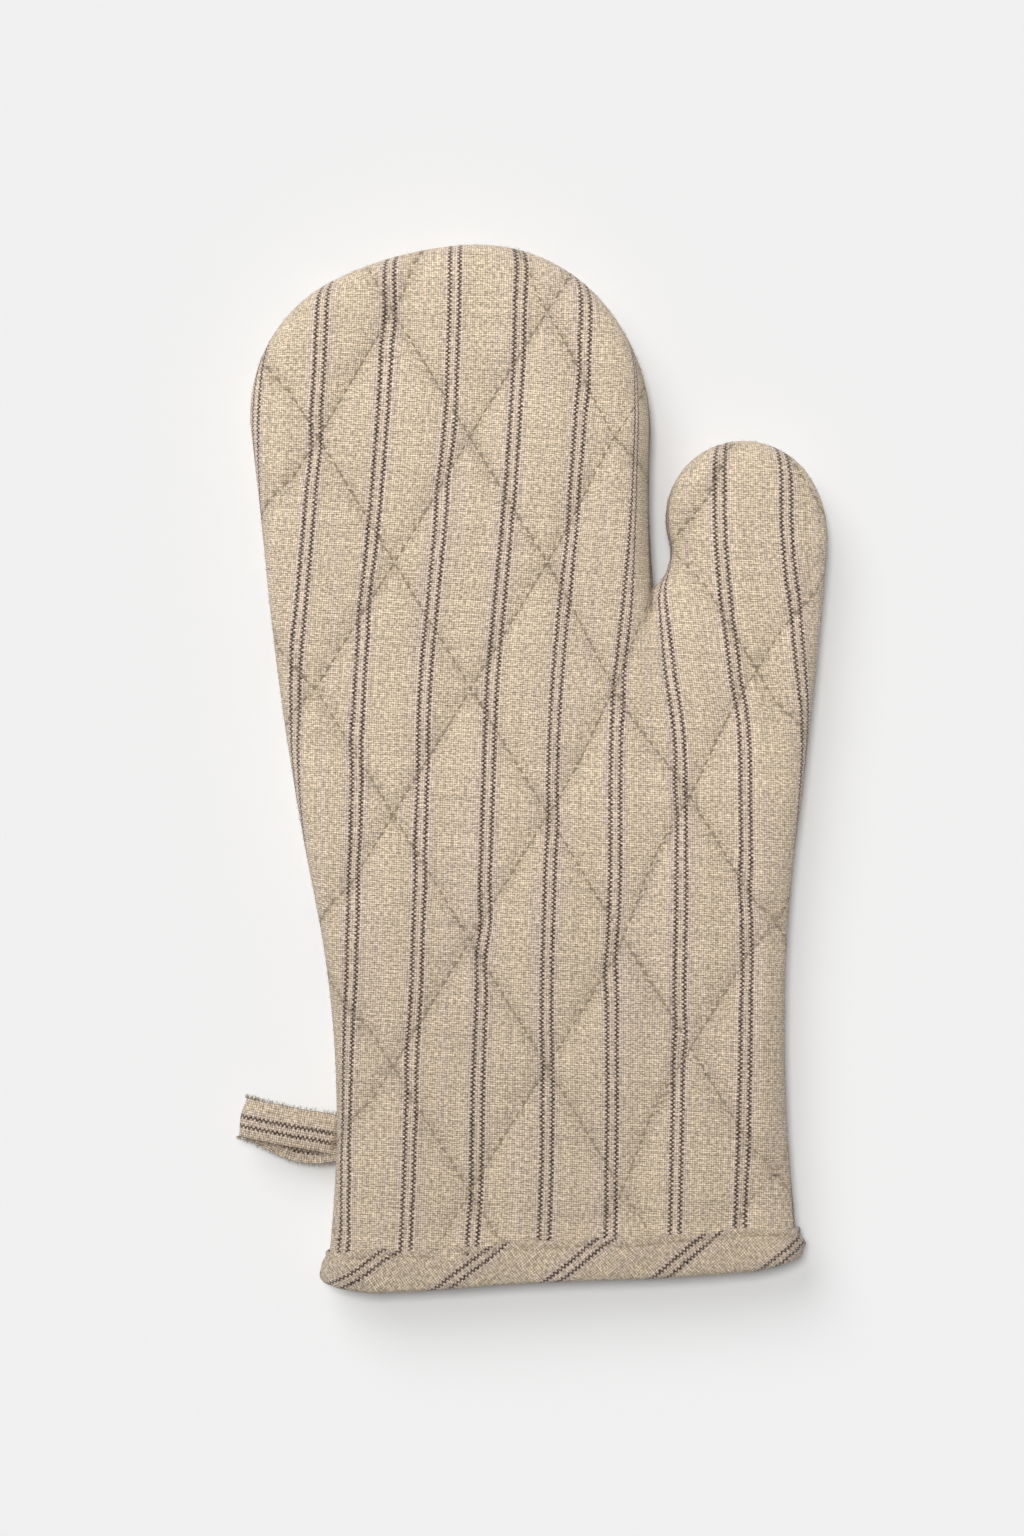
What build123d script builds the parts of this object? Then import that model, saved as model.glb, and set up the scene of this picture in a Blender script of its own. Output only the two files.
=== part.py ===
from build123d import *
import os
from math import cos, radians, sin

# Quilted oven mitt lying flat on its back panel, fingers towards +Y, thumb towards +X.
#
# Millimetres. The origin is on the resting surface, under the middle of the mitt's own box.
# Every fabric layer follows the mitt's rounded outer skin at its own depth, so one function makes
# the skin at any depth, and a layer is the difference of two of them.

os.makedirs("parts", exist_ok=True)

# Whole mitt
THICKNESS = 24.0
SEAM_Z = THICKNESS / 2
SEAM_BAND = 3.0          # upright strip of skin between the two rounded panels

# Layers of one panel, from the outside in
SHELL = 0.6
WADDING = 4.0
LINING = 0.4
WALL = SHELL + WADDING + LINING

# Cuff, where the layers are pressed together inside a folded binding
BINDING = 0.8
HEM_CAP = 1.0
BINDING_WIDTH = 12.6
STEP = 0.6               # height of the shell's and lining's step beside the binding's edge
HEM_LEFT = (-62.0, -159.9)
HEM_RIGHT = (81.0, -152.2)
BEYOND_HEM = 30.0        # how far the drawn skin runs on below the hem before it is cut

# Outline of the flat mitt: tangent arcs through these points, up each side to the crotch
HAND_START_ANGLE = 84.0
HAND_SIDE = [
    (-62.0, -146.5),
    (-60.5, -87.0),
    (-66.5, -40.0),
    (-81.5, 61.0),
    (-86.0, 102.5),
    (-61.0, 149.0),
    (-20.0, 160.0),
    (21.0, 143.0),
    (36.0, 100.0),
    (37.0, 55.5),
]
THUMB_START_ANGLE = 97.0
THUMB_SIDE = [
    (81.0, -144.5),
    (77.0, -74.5),
    (81.0, -17.5),
    (90.0, 67.5),
    (86.0, 87.0),
    (67.0, 100.0),
    (44.5, 89.5),
    (41.5, 70.0),
    (37.0, 55.5),
]
CROTCH_RADIUS = 1.5

# Side seam allowance, turned to the inside and overlocked
SEAM_THREAD = 0.4
SEAM_THREAD_HEIGHT = 2.0
ALLOWANCE = 5.6
ALLOWANCE_HEIGHT = 3.0
ALLOWANCE_END = 15.0     # above the hem

# Quilting: two families of diagonal stitch lines in shallow grooves
QUILT_SPACING = 46.8     # across the mitt, between lines of one family
QUILT_ANGLE = 58.5       # from the cuff's direction
QUILT_CROSSING = (4.4, -13.9)
QUILT_LINES = 6          # each side of the crossing
QUILT_LENGTH = 400.0
QUILT_WIDTH = 0.8
QUILT_DEPTH = 0.3
QUILT_MARGIN = 13.0      # the lines end this far inside the edge

# Binding stitching, a row of single stitches near the binding's upper edge
STITCH_RISE = 10.6       # above the hem
STITCH_PITCH = 3.6
STITCH_LENGTH = 2.6
STITCH_WIDTH = 0.6
STITCH_COUNT = 33

# Thumb fold: a line from the crotch to the right side, level with the upper skin
FOLD_TOP = (37.7, 57.0)
FOLD_BOTTOM = (77.5, -101.3)
FOLD_REACH = 18.0        # how far the cut runs past the side of the mitt
GAP_MIDDLE = [(38.2, 80.0), (40.0, 120.0)]
FAR_SIDE = 120.0

# Hanging loop, a strip folded in half and caught in the left side seam
LOOP_Y = -107.5
LOOP_WIDTH = 12.0
LOOP_STRIP = 1.5
LOOP_EYE = 5.6
LOOP_PIVOT_X = -62.9
LOOP_REACH = 27.7        # from the pivot to the folded end
LOOP_EYE_START = 2.6
LOOP_PINCH_RADIUS = 0.25
TACK_X = 3.6
TACK_SIZE = (1.2, 4.2, 9.0)


def hem_plane(rise):
    """Upright plane parallel to the slanted hem, a rise above it, facing the fingers."""
    along = (Vector(*HEM_RIGHT) - Vector(*HEM_LEFT)).normalized()
    up = Vector(-along.Y, along.X, 0)
    return Plane(origin=Vector(*HEM_LEFT) + up * rise, x_dir=along, z_dir=up)


def side_curve(points, start_angle):
    """A straight line up from below the hem, then tangent arcs through the points."""
    heading = Vector(cos(radians(start_angle)), sin(radians(start_angle)))
    first = Vector(*points[0])
    piece = Line(first - heading * BEYOND_HEM, first)
    foot = piece @ 0
    for point in points[1:]:
        piece = TangentArc(piece @ 1, point, tangent=piece % 1)
    return foot


def outline(depth, height):
    """The mitt's flat outline, drawn in by depth, at a height."""
    with BuildSketch(Plane.XY.offset(height)) as face:
        with BuildLine():
            hand_foot = side_curve(HAND_SIDE, HAND_START_ANGLE)
            thumb_foot = side_curve(THUMB_SIDE, THUMB_START_ANGLE)
            Line(hand_foot, thumb_foot)
        make_face()
        if depth:
            offset(amount=-depth, kind=Kind.INTERSECTION)
        crotch = face.vertices().sort_by_distance((*HAND_SIDE[-1], 0))[0]
        fillet(crotch, CROTCH_RADIUS + depth)
    return face.sketch


def skin(depth):
    """The solid inside the mitt's rounded outer surface, drawn in by depth on every side."""
    flat = outline(depth, depth)
    with BuildPart() as body:
        extrude(flat, amount=THICKNESS - 2 * depth)
        levels = body.edges().group_by(Axis.Z)
        rims = (levels[0] + levels[-1]).sort_by(Axis.Y)
        fillet(rims[2:], SEAM_Z - depth - SEAM_BAND / 2)
    return body.part


def hollow(outer, inner, low, high):
    """The layer between two skins, cut to a stretch above the hem (high may be None)."""
    with BuildPart() as layer:
        add(skins[outer])
        add(skins[inner], mode=Mode.SUBTRACT)
        split(bisect_by=hem_plane(low), keep=Keep.TOP)
        if high:
            split(bisect_by=hem_plane(high), keep=Keep.BOTTOM)
    return layer.part


def joined(pieces):
    """Several solids of one cloth made into one."""
    with BuildPart() as whole:
        for piece in pieces:
            add(piece)
    return whole.part


def flat_ring(outer, inner, height):
    """A flat flange centred on the seam, between two depths of the outline."""
    base = SEAM_Z - height / 2
    with BuildPart() as ring:
        extrude(outline(outer, base), amount=height)
        extrude(outline(inner, base), amount=height, mode=Mode.SUBTRACT)
        split(bisect_by=hem_plane(ALLOWANCE_END), keep=Keep.TOP)
    return ring.part


def quilting(height):
    """Both families of diagonal stitch lines, as one flat lattice on a panel's flat face."""
    field = outline(QUILT_MARGIN, height)
    with BuildPart() as lattice:
        with BuildSketch(Plane.XY.offset(height)):
            for angle in (QUILT_ANGLE, -QUILT_ANGLE):
                for line in range(-QUILT_LINES, QUILT_LINES + 1):
                    middle = (QUILT_CROSSING[0] + line * QUILT_SPACING, QUILT_CROSSING[1])
                    with Locations(Location((*middle, 0), (0, 0, angle))):
                        Rectangle(QUILT_LENGTH, QUILT_WIDTH)
            add(field, mode=Mode.INTERSECT)
        extrude(amount=QUILT_DEPTH)
        split(bisect_by=hem_plane(BINDING_WIDTH + 4.0), keep=Keep.TOP)
    return lattice.part


def half(solid, keep):
    """The front (upper) or rear (lower) half of a layer, cut at the seam."""
    with BuildPart() as panel:
        add(solid)
        split(bisect_by=Plane.XY.offset(SEAM_Z), keep=keep)
    return panel.part


def write_piece(piece, name):
    """Label a finished piece and write its own file."""
    piece.part.label = name
    export_step(piece.part, f"parts/{name}.step")


def write_both_sides(solid, name):
    """Write a cloth that runs over the thumb fold as its hand side and its thumb side."""
    with BuildPart() as hand_side:
        add(solid)
        add(thumb_region.part, mode=Mode.SUBTRACT)
    write_piece(hand_side, name)
    with BuildPart() as thumb_side:
        add(solid)
        add(thumb_region.part, mode=Mode.INTERSECT)
    write_piece(thumb_side, f"{name}_thumb")


# Depths of the layers, in the body of the mitt and pressed inside the binding
SHELL_BACK = SHELL
WADDING_BACK = SHELL + WADDING
CUFF_SHELL = BINDING
CUFF_SHELL_BACK = CUFF_SHELL + SHELL
CUFF_LINING_BACK = WALL - BINDING
CUFF_LINING = CUFF_LINING_BACK - LINING

depths = (0, SHELL_BACK, WADDING_BACK, WALL, CUFF_SHELL, CUFF_SHELL_BACK, CUFF_LINING,
          CUFF_LINING_BACK)
skins = {depth: skin(depth) for depth in depths}

# Thumb side of the fold: right of the fold line, and right of the gap beside the hand
with BuildPart() as thumb_region:
    fold = (Vector(*FOLD_BOTTOM) - Vector(*FOLD_TOP)).normalized()
    past_side = Vector(*FOLD_BOTTOM) + fold * FOLD_REACH
    with BuildSketch(Plane.XY.offset(-1)):
        with BuildLine():
            Polyline(
                FOLD_TOP,
                past_side,
                (FAR_SIDE, past_side.Y),
                (FAR_SIDE, FAR_SIDE),
                *reversed(GAP_MIDDLE),
                close=True,
            )
        make_face()
    extrude(amount=THICKNESS + 2)

# Cloth layers, each over its whole tube before it is cut into front and rear
top = BINDING_WIDTH + STEP
shell = joined([
    hollow(0, SHELL_BACK, top, None),
    hollow(0, CUFF_SHELL_BACK, BINDING_WIDTH, top),
    hollow(CUFF_SHELL, CUFF_SHELL_BACK, HEM_CAP, BINDING_WIDTH),
])
wadding = joined([
    hollow(SHELL_BACK, WADDING_BACK, top, None),
    hollow(CUFF_SHELL_BACK, CUFF_LINING, HEM_CAP, top),
])
lining = joined([
    hollow(WADDING_BACK, WALL, top, None),
    hollow(CUFF_LINING, WALL, BINDING_WIDTH, top),
    hollow(CUFF_LINING, CUFF_LINING_BACK, HEM_CAP, BINDING_WIDTH),
])

# Quilting threads, and the shells with the threads' grooves
front_thread = quilting(THICKNESS - QUILT_DEPTH)
rear_thread = quilting(0)
write_both_sides(front_thread, "front_quilting_thread")
write_both_sides(rear_thread, "rear_quilting_thread")

with BuildPart() as front_shell:
    add(half(shell, Keep.TOP))
    add(front_thread, mode=Mode.SUBTRACT)
write_both_sides(front_shell.part, "front_shell")

with BuildPart() as rear_shell:
    add(half(shell, Keep.BOTTOM))
    add(rear_thread, mode=Mode.SUBTRACT)
write_both_sides(rear_shell.part, "rear_shell")

write_both_sides(half(wadding, Keep.TOP), "front_wadding")
write_both_sides(half(wadding, Keep.BOTTOM), "rear_wadding")
write_both_sides(half(lining, Keep.TOP), "front_lining")
write_both_sides(half(lining, Keep.BOTTOM), "rear_lining")

# Seam thread and overlocked allowance, inside the mitt at the side seam
thread_back = WALL + SEAM_THREAD
write_both_sides(flat_ring(WALL, thread_back, SEAM_THREAD_HEIGHT), "side_seam_thread")
write_both_sides(flat_ring(thread_back, thread_back + ALLOWANCE, ALLOWANCE_HEIGHT), "seam_overlock")

# Binding stitches, front and rear, along the hem
with BuildPart() as binding_stitching:
    row = hem_plane(STITCH_RISE)
    middle = row.origin + row.x_dir * (Vector(*HEM_RIGHT) - Vector(*HEM_LEFT)).length / 2
    for base in (0, THICKNESS - QUILT_DEPTH):
        seam = Plane(origin=middle + Vector(0, 0, base), x_dir=row.x_dir, z_dir=(0, 0, 1))
        with BuildSketch(seam):
            with GridLocations(STITCH_PITCH, 0, STITCH_COUNT, 1):
                Rectangle(STITCH_LENGTH, STITCH_WIDTH)
        extrude(amount=QUILT_DEPTH)
write_piece(binding_stitching, "binding_stitching")

# Cuff binding, folded round the hem
with BuildPart() as cuff_binding:
    add(hollow(0, CUFF_SHELL, 0, BINDING_WIDTH))
    add(hollow(CUFF_LINING_BACK, WALL, 0, BINDING_WIDTH))
    add(hollow(0, WALL, 0, HEM_CAP))
    add(binding_stitching.part, mode=Mode.SUBTRACT)
write_piece(cuff_binding, "cuff_binding")

# Hanging loop and the bar tack that holds its two ends
loop_side = Plane(
    origin=(LOOP_PIVOT_X, LOOP_Y - LOOP_WIDTH / 2, SEAM_Z), x_dir=(-1, 0, 0), z_dir=(0, 1, 0)
)
loop_middle = loop_side.offset(LOOP_WIDTH / 2)
end_radius = LOOP_EYE / 2 + LOOP_STRIP
with BuildPart() as loop_stitching:
    with BuildSketch(loop_middle):
        with Locations((TACK_X, 0)):
            Rectangle(TACK_SIZE[0], TACK_SIZE[1])
    extrude(amount=TACK_SIZE[2] / 2, both=True)
write_piece(loop_stitching, "loop_stitching")

with BuildPart() as hanging_loop:
    with BuildSketch(loop_side):
        with BuildLine():
            CenterArc((LOOP_REACH - end_radius, 0), end_radius, 0, 360)
            CenterArc((0, 0), LOOP_STRIP, 0, 360)
        make_hull()
    extrude(amount=LOOP_WIDTH)
    with BuildSketch(loop_side):
        with BuildLine():
            CenterArc((LOOP_REACH - end_radius, 0), LOOP_EYE / 2, 0, 360)
            CenterArc((LOOP_EYE_START, 0), LOOP_PINCH_RADIUS, 0, 360)
        make_hull()
    extrude(amount=LOOP_WIDTH, mode=Mode.SUBTRACT)
    add(loop_stitching.part, mode=Mode.SUBTRACT)
write_piece(hanging_loop, "hanging_loop")
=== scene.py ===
from math import atan2, cos, hypot, pi, radians, sin

import bpy
import numpy as np
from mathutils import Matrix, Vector
from mathutils.geometry import delaunay_2d_cdt
from mathutils.kdtree import KDTree


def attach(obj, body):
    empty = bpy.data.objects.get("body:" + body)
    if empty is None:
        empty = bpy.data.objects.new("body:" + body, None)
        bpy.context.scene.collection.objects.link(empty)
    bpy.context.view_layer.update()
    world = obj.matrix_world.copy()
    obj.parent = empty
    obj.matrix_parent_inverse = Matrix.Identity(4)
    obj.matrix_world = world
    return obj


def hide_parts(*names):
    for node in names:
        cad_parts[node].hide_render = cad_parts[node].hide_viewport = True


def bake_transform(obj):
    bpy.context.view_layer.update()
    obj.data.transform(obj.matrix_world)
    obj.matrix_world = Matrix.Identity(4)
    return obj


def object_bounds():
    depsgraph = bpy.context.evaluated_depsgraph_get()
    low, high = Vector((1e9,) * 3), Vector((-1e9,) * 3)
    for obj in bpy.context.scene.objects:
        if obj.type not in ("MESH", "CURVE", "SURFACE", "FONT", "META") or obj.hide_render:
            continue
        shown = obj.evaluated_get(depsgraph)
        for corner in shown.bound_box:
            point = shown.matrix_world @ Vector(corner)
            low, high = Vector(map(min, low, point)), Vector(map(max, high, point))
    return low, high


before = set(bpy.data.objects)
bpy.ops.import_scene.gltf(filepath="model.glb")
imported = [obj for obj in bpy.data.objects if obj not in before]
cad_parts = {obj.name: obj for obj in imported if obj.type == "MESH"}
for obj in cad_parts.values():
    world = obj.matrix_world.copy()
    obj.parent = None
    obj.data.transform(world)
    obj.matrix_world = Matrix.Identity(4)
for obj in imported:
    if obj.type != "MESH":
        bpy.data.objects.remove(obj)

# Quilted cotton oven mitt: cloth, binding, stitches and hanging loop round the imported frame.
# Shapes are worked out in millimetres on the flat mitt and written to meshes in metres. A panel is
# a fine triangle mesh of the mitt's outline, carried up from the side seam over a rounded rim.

cad_low, cad_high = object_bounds()
random = np.random.default_rng(7)

MM = 0.001
SEAM_Z = (cad_low[2] + cad_high[2]) / 2 / MM

# Outline of the flat mitt, as tangent arcs up each side from the hem to the crotch
BELOW_HEM = 30.0
HAND_START_ANGLE = 84.0
HAND_SIDE = [(-62, -146.5), (-60.5, -87), (-66.5, -40), (-81.5, 61), (-86, 102.5),
             (-61, 149), (-20, 160), (21, 143), (36, 100), (37, 55.5)]
THUMB_START_ANGLE = 97.0
THUMB_SIDE = [(81, -144.5), (77, -74.5), (81, -17.5), (90, 67.5), (86, 87),
              (67, 100), (44.5, 89.5), (41.5, 70), (37, 55.5)]
HEM_LEFT = np.array((-62.0, -159.9))
HEM_RIGHT = np.array((81.0, -152.2))
CROTCH = np.array((37.0, 55.5))

# Rounded rim of a panel, from the side seam up to its flat part
RIM = 12.0               # how far in from the outline the rim ends
RIM_POWER = 2.6
SEAM_GROOVE = 1.3
SEAM_GROOVE_HEIGHT = 0.12
SEAM_GAP = 0.3
FRONT_HEIGHT = 10.5      # above the seam, at the end of the rim
FRONT_CROWN = 1.0        # more in the middle of the mitt
REAR_HEIGHT = 11.9
CUFF_SQUEEZE = 0.09      # part of the height lost under the binding
CUFF_SQUEEZE_FROM = 24.0
BINDING_WIDTH = 12.6

# Layers, as depths under the outer face of a panel
CLOTH = 0.6
BATTING = (0.7, 4.4)
LINING = (4.6, 5.0)
CROTCH_TUCK = 2.2        # how much thinner the batting is beside the crotch
TUCK_CENTRE = (5.0, -6.0)    # from the crotch
TUCK_REACH = 17.0
SHARP_CREASE = 1.1       # width of the crotch's crease in the outer cloth
SOFT_CREASE = 4.5        # and in the layers under it
CLOTH_BOTTOM = 5.5       # how far above the hem the outer cloth starts, inside the binding
INNER_BOTTOM = 7.0       # and the batting and lining

# Quilting
QUILT_SPACING = 46.8
QUILT_SLOPE = 1.634
QUILT_CROSSING = (4.4, -13.9)
QUILT_STITCH = 3.3
THUMB_LEAN = 7.0         # how far the rising lines lie to the left on the thumb side
FAMILIES = ((-QUILT_SLOPE, 0), (QUILT_SLOPE, 1))     # slope and number of each family of lines

# Cloth: threads, and a pair of dark stripes every twenty millimetres
STRIPE_PITCH = 20.0
STRIPE_START = -3.2
WARP = STRIPE_PITCH / 28
WEFT = 0.66
STRIPE_GAP = 2.95        # between the middles of a pair's two dark lines
STRIPE_WIDTH = 0.86
ZIGZAG = 0.44
CLOTH_WARM = (232, 212, 184)
CLOTH_GREY = (230, 209, 190)
DARK_STRIPE = (62, 42, 28)
REAR_STRIPE_SHIFT = 9.0

# Binding
CORNER_RISE = 4.2        # how much higher the hem lies at its two corners
BIAS_ANGLE = 37.0
BIAS_SHIFT = 4.0
BINDING_STITCH_RISE = 10.6
BINDING_PROFILE = [      # (rise above the hem, distance out from the cloth's face)
    (12.45, 0.10), (12.85, 0.35), (12.70, 0.78), (12.0, 0.86), (11.2, 0.66), (10.6, 0.46),
    (10.0, 0.70), (8.5, 1.02), (6.5, 1.12), (4.5, 1.08), (2.5, 1.02), (1.2, 0.86), (0.35, 0.3),
    (-0.1, -0.9), (-0.25, -2.4), (-0.1, -4.0), (0.35, -5.3), (1.3, -6.0), (3.5, -6.25),
    (6.5, -6.3), (9.5, -6.15), (10.6, -5.95), (11.5, -6.1), (12.1, -5.95), (12.0, -5.45),
    (10.5, -5.4), (6.0, -5.4), (2.2, -5.3), (1.0, -4.4), (0.85, -2.6), (1.0, -1.0),
    (2.2, 0.08), (6.0, 0.12), (10.5, 0.08)]

# Hanging loop: the folded strip's middle line, out along the top and back underneath
LOOP_STRIP = 12.0
LOOP_CLOTH = 1.1
LOOP_STRIPE = -1.2       # where its stripes lie across the strip
LOOP_ROUTE = np.array([
    (-58.6, -112.2, 12.9), (-61.5, -111.6, 13.2), (-66.0, -110.7, 14.3), (-72.0, -109.6, 15.2),
    (-79.0, -108.2, 15.5), (-84.2, -107.2, 15.1), (-87.4, -106.6, 13.9), (-88.6, -106.4, 12.0),
    (-87.6, -106.9, 10.2), (-84.2, -108.3, 9.0), (-78.5, -111.2, 8.4), (-72.5, -114.0, 8.4),
    (-67.0, -114.9, 9.3), (-62.5, -114.4, 10.7), (-58.6, -113.6, 11.6)])

# Camera and light
FRAME_HEIGHT = 469.5     # what the frame's height covers at the side seam's level
FRAME_CENTRE = (-6.3, 0.2)
CAMERA_RISE = 1500.0
SKY = 0.17
KEY = 1.15
TOP = 1.92


# ---- flat shape


def arc_points(start, heading, end, step=0.8):
    """Points along the circle arc from start, leaving along heading, to end; and its last heading."""
    chord = end - start
    normal = np.array((-heading[1], heading[0]))
    radius = chord @ chord / (2 * (chord @ normal))
    centre = start + radius * normal
    first = atan2(*(start - centre)[::-1])
    turn = (atan2(*(end - centre)[::-1]) - first) % (2 * pi)
    if radius < 0:
        turn -= 2 * pi
    count = max(2, int(abs(turn * radius) / step))
    angles = first + turn * np.linspace(0, 1, count + 1)
    points = centre + abs(radius) * np.stack((np.cos(angles), np.sin(angles)), 1)
    side = 1 if radius > 0 else -1
    return points, side * np.array((-sin(angles[-1]), cos(angles[-1])))


def side_points(corners, start_angle):
    """One side of the outline, from below the hem to the crotch."""
    heading = np.array((cos(radians(start_angle)), sin(radians(start_angle))))
    corners = [np.array(corner, float) for corner in corners]
    steps = np.linspace(-BELOW_HEM, 0, 38)[:, None]
    runs = [corners[0] + steps * heading]
    for start, end in zip(corners, corners[1:]):
        points, heading = arc_points(start, heading, end)
        runs.append(points[1:])
    return np.concatenate(runs)


hand_side = side_points(HAND_SIDE, HAND_START_ANGLE)
thumb_side = side_points(THUMB_SIDE, THUMB_START_ANGLE)
outline = np.concatenate((hand_side, thumb_side[-2::-1]))
hem_along = (HEM_RIGHT - HEM_LEFT) / np.linalg.norm(HEM_RIGHT - HEM_LEFT)
hem_up = np.array((-hem_along[1], hem_along[0]))

outline_tree = KDTree(len(outline))
for place_no, (place_x, place_y) in enumerate(outline):
    outline_tree.insert((place_x, place_y, 0), place_no)
outline_tree.balance()


def nearest_side(points):
    """Distance in from the outline and the nearest outline point, for points inside it."""
    nearest = np.array([outline_tree.find((x, y, 0))[1] for x, y in points])
    best, foot = np.full(len(points), np.inf), np.empty((len(points), 2))
    for first in (-2, -1, 0, 1):
        start = np.clip(nearest + first, 0, len(outline) - 2)
        span = outline[start + 1] - outline[start]
        share = np.clip(((points - outline[start]) * span).sum(1) / (span ** 2).sum(1), 0, 1)
        feet = outline[start] + share[:, None] * span
        away = np.linalg.norm(points - feet, axis=1)
        closer = away < best
        best[closer], foot[closer] = away[closer], feet[closer]
    return best, foot


def inward_normals(line):
    """Unit normals of the outline at its own points, turned towards the inside (clockwise run)."""
    tangent = unit(np.gradient(line, axis=0))
    return np.stack((tangent[:, 1], -tangent[:, 0]), 1)


def rise_of(points):
    """Height of flat points above the hem line."""
    return (points - HEM_LEFT) @ hem_up


def smoothstep(low, high, value):
    """Smooth 0 to 1 as value goes from low to high."""
    share = np.clip((value - low) / (high - low), 0, 1)
    return share * share * (3 - 2 * share)


def waves(points, shortest, longest, seed, count=14):
    """Soft random bumps, about -1 to 1, made of plane waves."""
    draw = np.random.default_rng(seed)
    total = np.zeros(len(points))
    for _ in range(count):
        length = draw.uniform(shortest, longest)
        angle, phase = draw.uniform(0, pi), draw.uniform(0, 2 * pi)
        along = points[:, 0] * cos(angle) + points[:, 1] * sin(angle)
        total += np.sin(2 * pi * along / length + phase)
    return total / (count / 2) ** 0.5 / 1.6


def outline_above(rise):
    """The outline's points above a rise, with its two ends exactly on it."""
    height = rise_of(outline)
    inside = np.where(height > rise)[0]
    low, high = inside[0], inside[-1]
    ends = []
    for outer, inner in ((low - 1, low), (high + 1, high)):
        share = (rise - height[outer]) / (height[inner] - height[outer])
        ends.append(outline[outer] + share * (outline[inner] - outline[outer]))
    return np.concatenate((ends[:1], outline[low:high + 1], ends[1:]))


def unit(vectors, least=0.0):
    """Vectors at length one."""
    return vectors / np.maximum(np.linalg.norm(vectors, axis=1), least)[:, None]


def resample(line, step):
    """Evenly spaced points along a line, its ends kept."""
    lengths = np.concatenate(([0], np.cumsum(np.linalg.norm(np.diff(line, axis=0), axis=1))))
    count = max(2, round(lengths[-1] / step))
    at = np.linspace(0, lengths[-1], count + 1)
    return np.stack([np.interp(at, lengths, line[:, axis]) for axis in range(2)], 1)


def flat_mesh(step, bottom):
    """Triangles that fill the outline above the bottom rise, with rings along the rim."""
    edge = resample(outline_above(bottom), step)
    normals = inward_normals(edge)
    hem = resample(np.stack((edge[-1], edge[0])), step)[1:-1]
    points = [edge, hem]
    rings = max(5, int(RIM * 1.6 / step))
    for share in np.linspace(0, 1, rings + 1)[1:]:
        ring = edge + normals * RIM * share
        depth, _ = nearest_side(ring)
        keep = (depth > RIM * share - 0.12) & (rise_of(ring) > bottom + step * 0.5)
        points.append(ring[keep])
        radius = RIM * share             # and the fan of points below the crotch's corner
        angle = np.arange(pi, 2 * pi, min(0.4, step / radius))
        fan = CROTCH + radius * np.stack((np.cos(angle), np.sin(angle)), 1)
        points.append(fan[nearest_side(fan)[0] > radius - 0.02])
    across = np.arange(outline[:, 0].min(), outline[:, 0].max(), step)
    up = np.arange(outline[:, 1].min(), outline[:, 1].max(), step * 0.866)
    grid = np.array([(x + (row % 2) * step / 2, y) for row, y in enumerate(up) for x in across])
    inside = inside_outline(grid) & (rise_of(grid) > bottom + step * 0.6)
    grid = grid[inside]
    depth, _ = nearest_side(grid)
    points.append(grid[depth > RIM + step * 0.6])
    points = np.concatenate(points)
    border = len(edge) + len(hem)
    loop = [(i, (i + 1) % border) for i in range(border)]
    found = delaunay_2d_cdt([Vector(p) for p in points], loop, [], 1, 1e-5)
    return np.array([tuple(p) for p in found[0]]), np.array(found[2])


def inside_outline(points):
    """Which points lie inside the closed outline."""
    inside = np.zeros(len(points), bool)
    ends = np.roll(outline, -1, axis=0)
    for (ax, ay), (bx, by) in zip(outline, ends):
        if ay == by:
            continue
        crosses = (points[:, 1] < ay) != (points[:, 1] < by)
        inside ^= crosses & (points[:, 0] < ax + (points[:, 1] - ay) * (bx - ax) / (by - ay))
    return inside


# ---- raised shape


def rim_profile(groove):
    """Depth in from the outline and share of the height, by arc length from the seam."""
    angle = np.linspace(0, pi / 2, 400)
    height = np.sin(angle)
    depth = RIM * (1 - (1 - np.minimum(height, 1) ** RIM_POWER) ** (1 / RIM_POWER))
    depth += groove * np.exp(-(height / SEAM_GROOVE_HEIGHT) ** 2)
    steps = np.hypot(np.diff(depth), np.diff(height) * FRONT_HEIGHT)
    return np.concatenate(([0], np.cumsum(steps))), depth, height


RIM_LENGTH = rim_profile(SEAM_GROOVE)[0][-1]


def quilt_drift(points):
    """How far the stitch lines stray to the left of straight ones."""
    x, y = points.T
    return 0.35 * waves(points, 60, 140, 21) + 3.2 * smoothstep(5, 30, x) * smoothstep(-10, 20, y)


def quilt_distance(points):
    """Distance to the nearest stitch line of each family."""
    x, y = points.T
    drift = quilt_drift(points)
    found = []
    for rise, family in FAMILIES:
        lean = THUMB_LEAN * smoothstep(22, 48, x) * family
        across = x + lean + drift - QUILT_CROSSING[0] - (y - QUILT_CROSSING[1]) / rise
        off = (across / QUILT_SPACING + 0.5) % 1 - 0.5
        found.append(np.abs(off) * QUILT_SPACING * QUILT_SLOPE / hypot(1, QUILT_SLOPE))
    return found


def quilt_map(points, family):
    """Distance across and along one family of stitch lines, for the painted shade in the stitches' holes
    and beside the lines.
    """
    away = quilt_distance(points)[family]
    along = points[:, 1] * hypot(1, QUILT_SLOPE) / QUILT_SLOPE
    return np.stack((away, along), 1)


def quilt_relief(points, depth):
    """Height of the quilting: valleys along the lines and soft cushions between."""
    first, second = quilt_distance(points)
    valley = np.maximum(np.exp(-(first / 3.0) ** 2), np.exp(-(second / 3.0) ** 2))
    broad = np.maximum(np.exp(-(first / 9.0) ** 2), np.exp(-(second / 9.0) ** 2))
    fade = smoothstep(0.5, 6, depth) * smoothstep(BINDING_WIDTH, BINDING_WIDTH + 8, rise_of(points))
    return -(0.8 * valley + 0.95 * broad) * fade


def crotch_pinch(points, width):
    """The short crease that runs down from the crotch, and the cloth that gathers beside it."""
    offset = points - CROTCH
    along = -offset[:, 1]
    fade = smoothstep(-1, 2, along) * (1 - smoothstep(7, 16, along))
    crease = -3.4 * np.exp(-((offset[:, 0] + 0.8) / width) ** 2) * fade
    gather = -1.0 * np.exp(-(np.hypot(*offset.T) / 14) ** 2)
    return crease + gather


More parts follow.
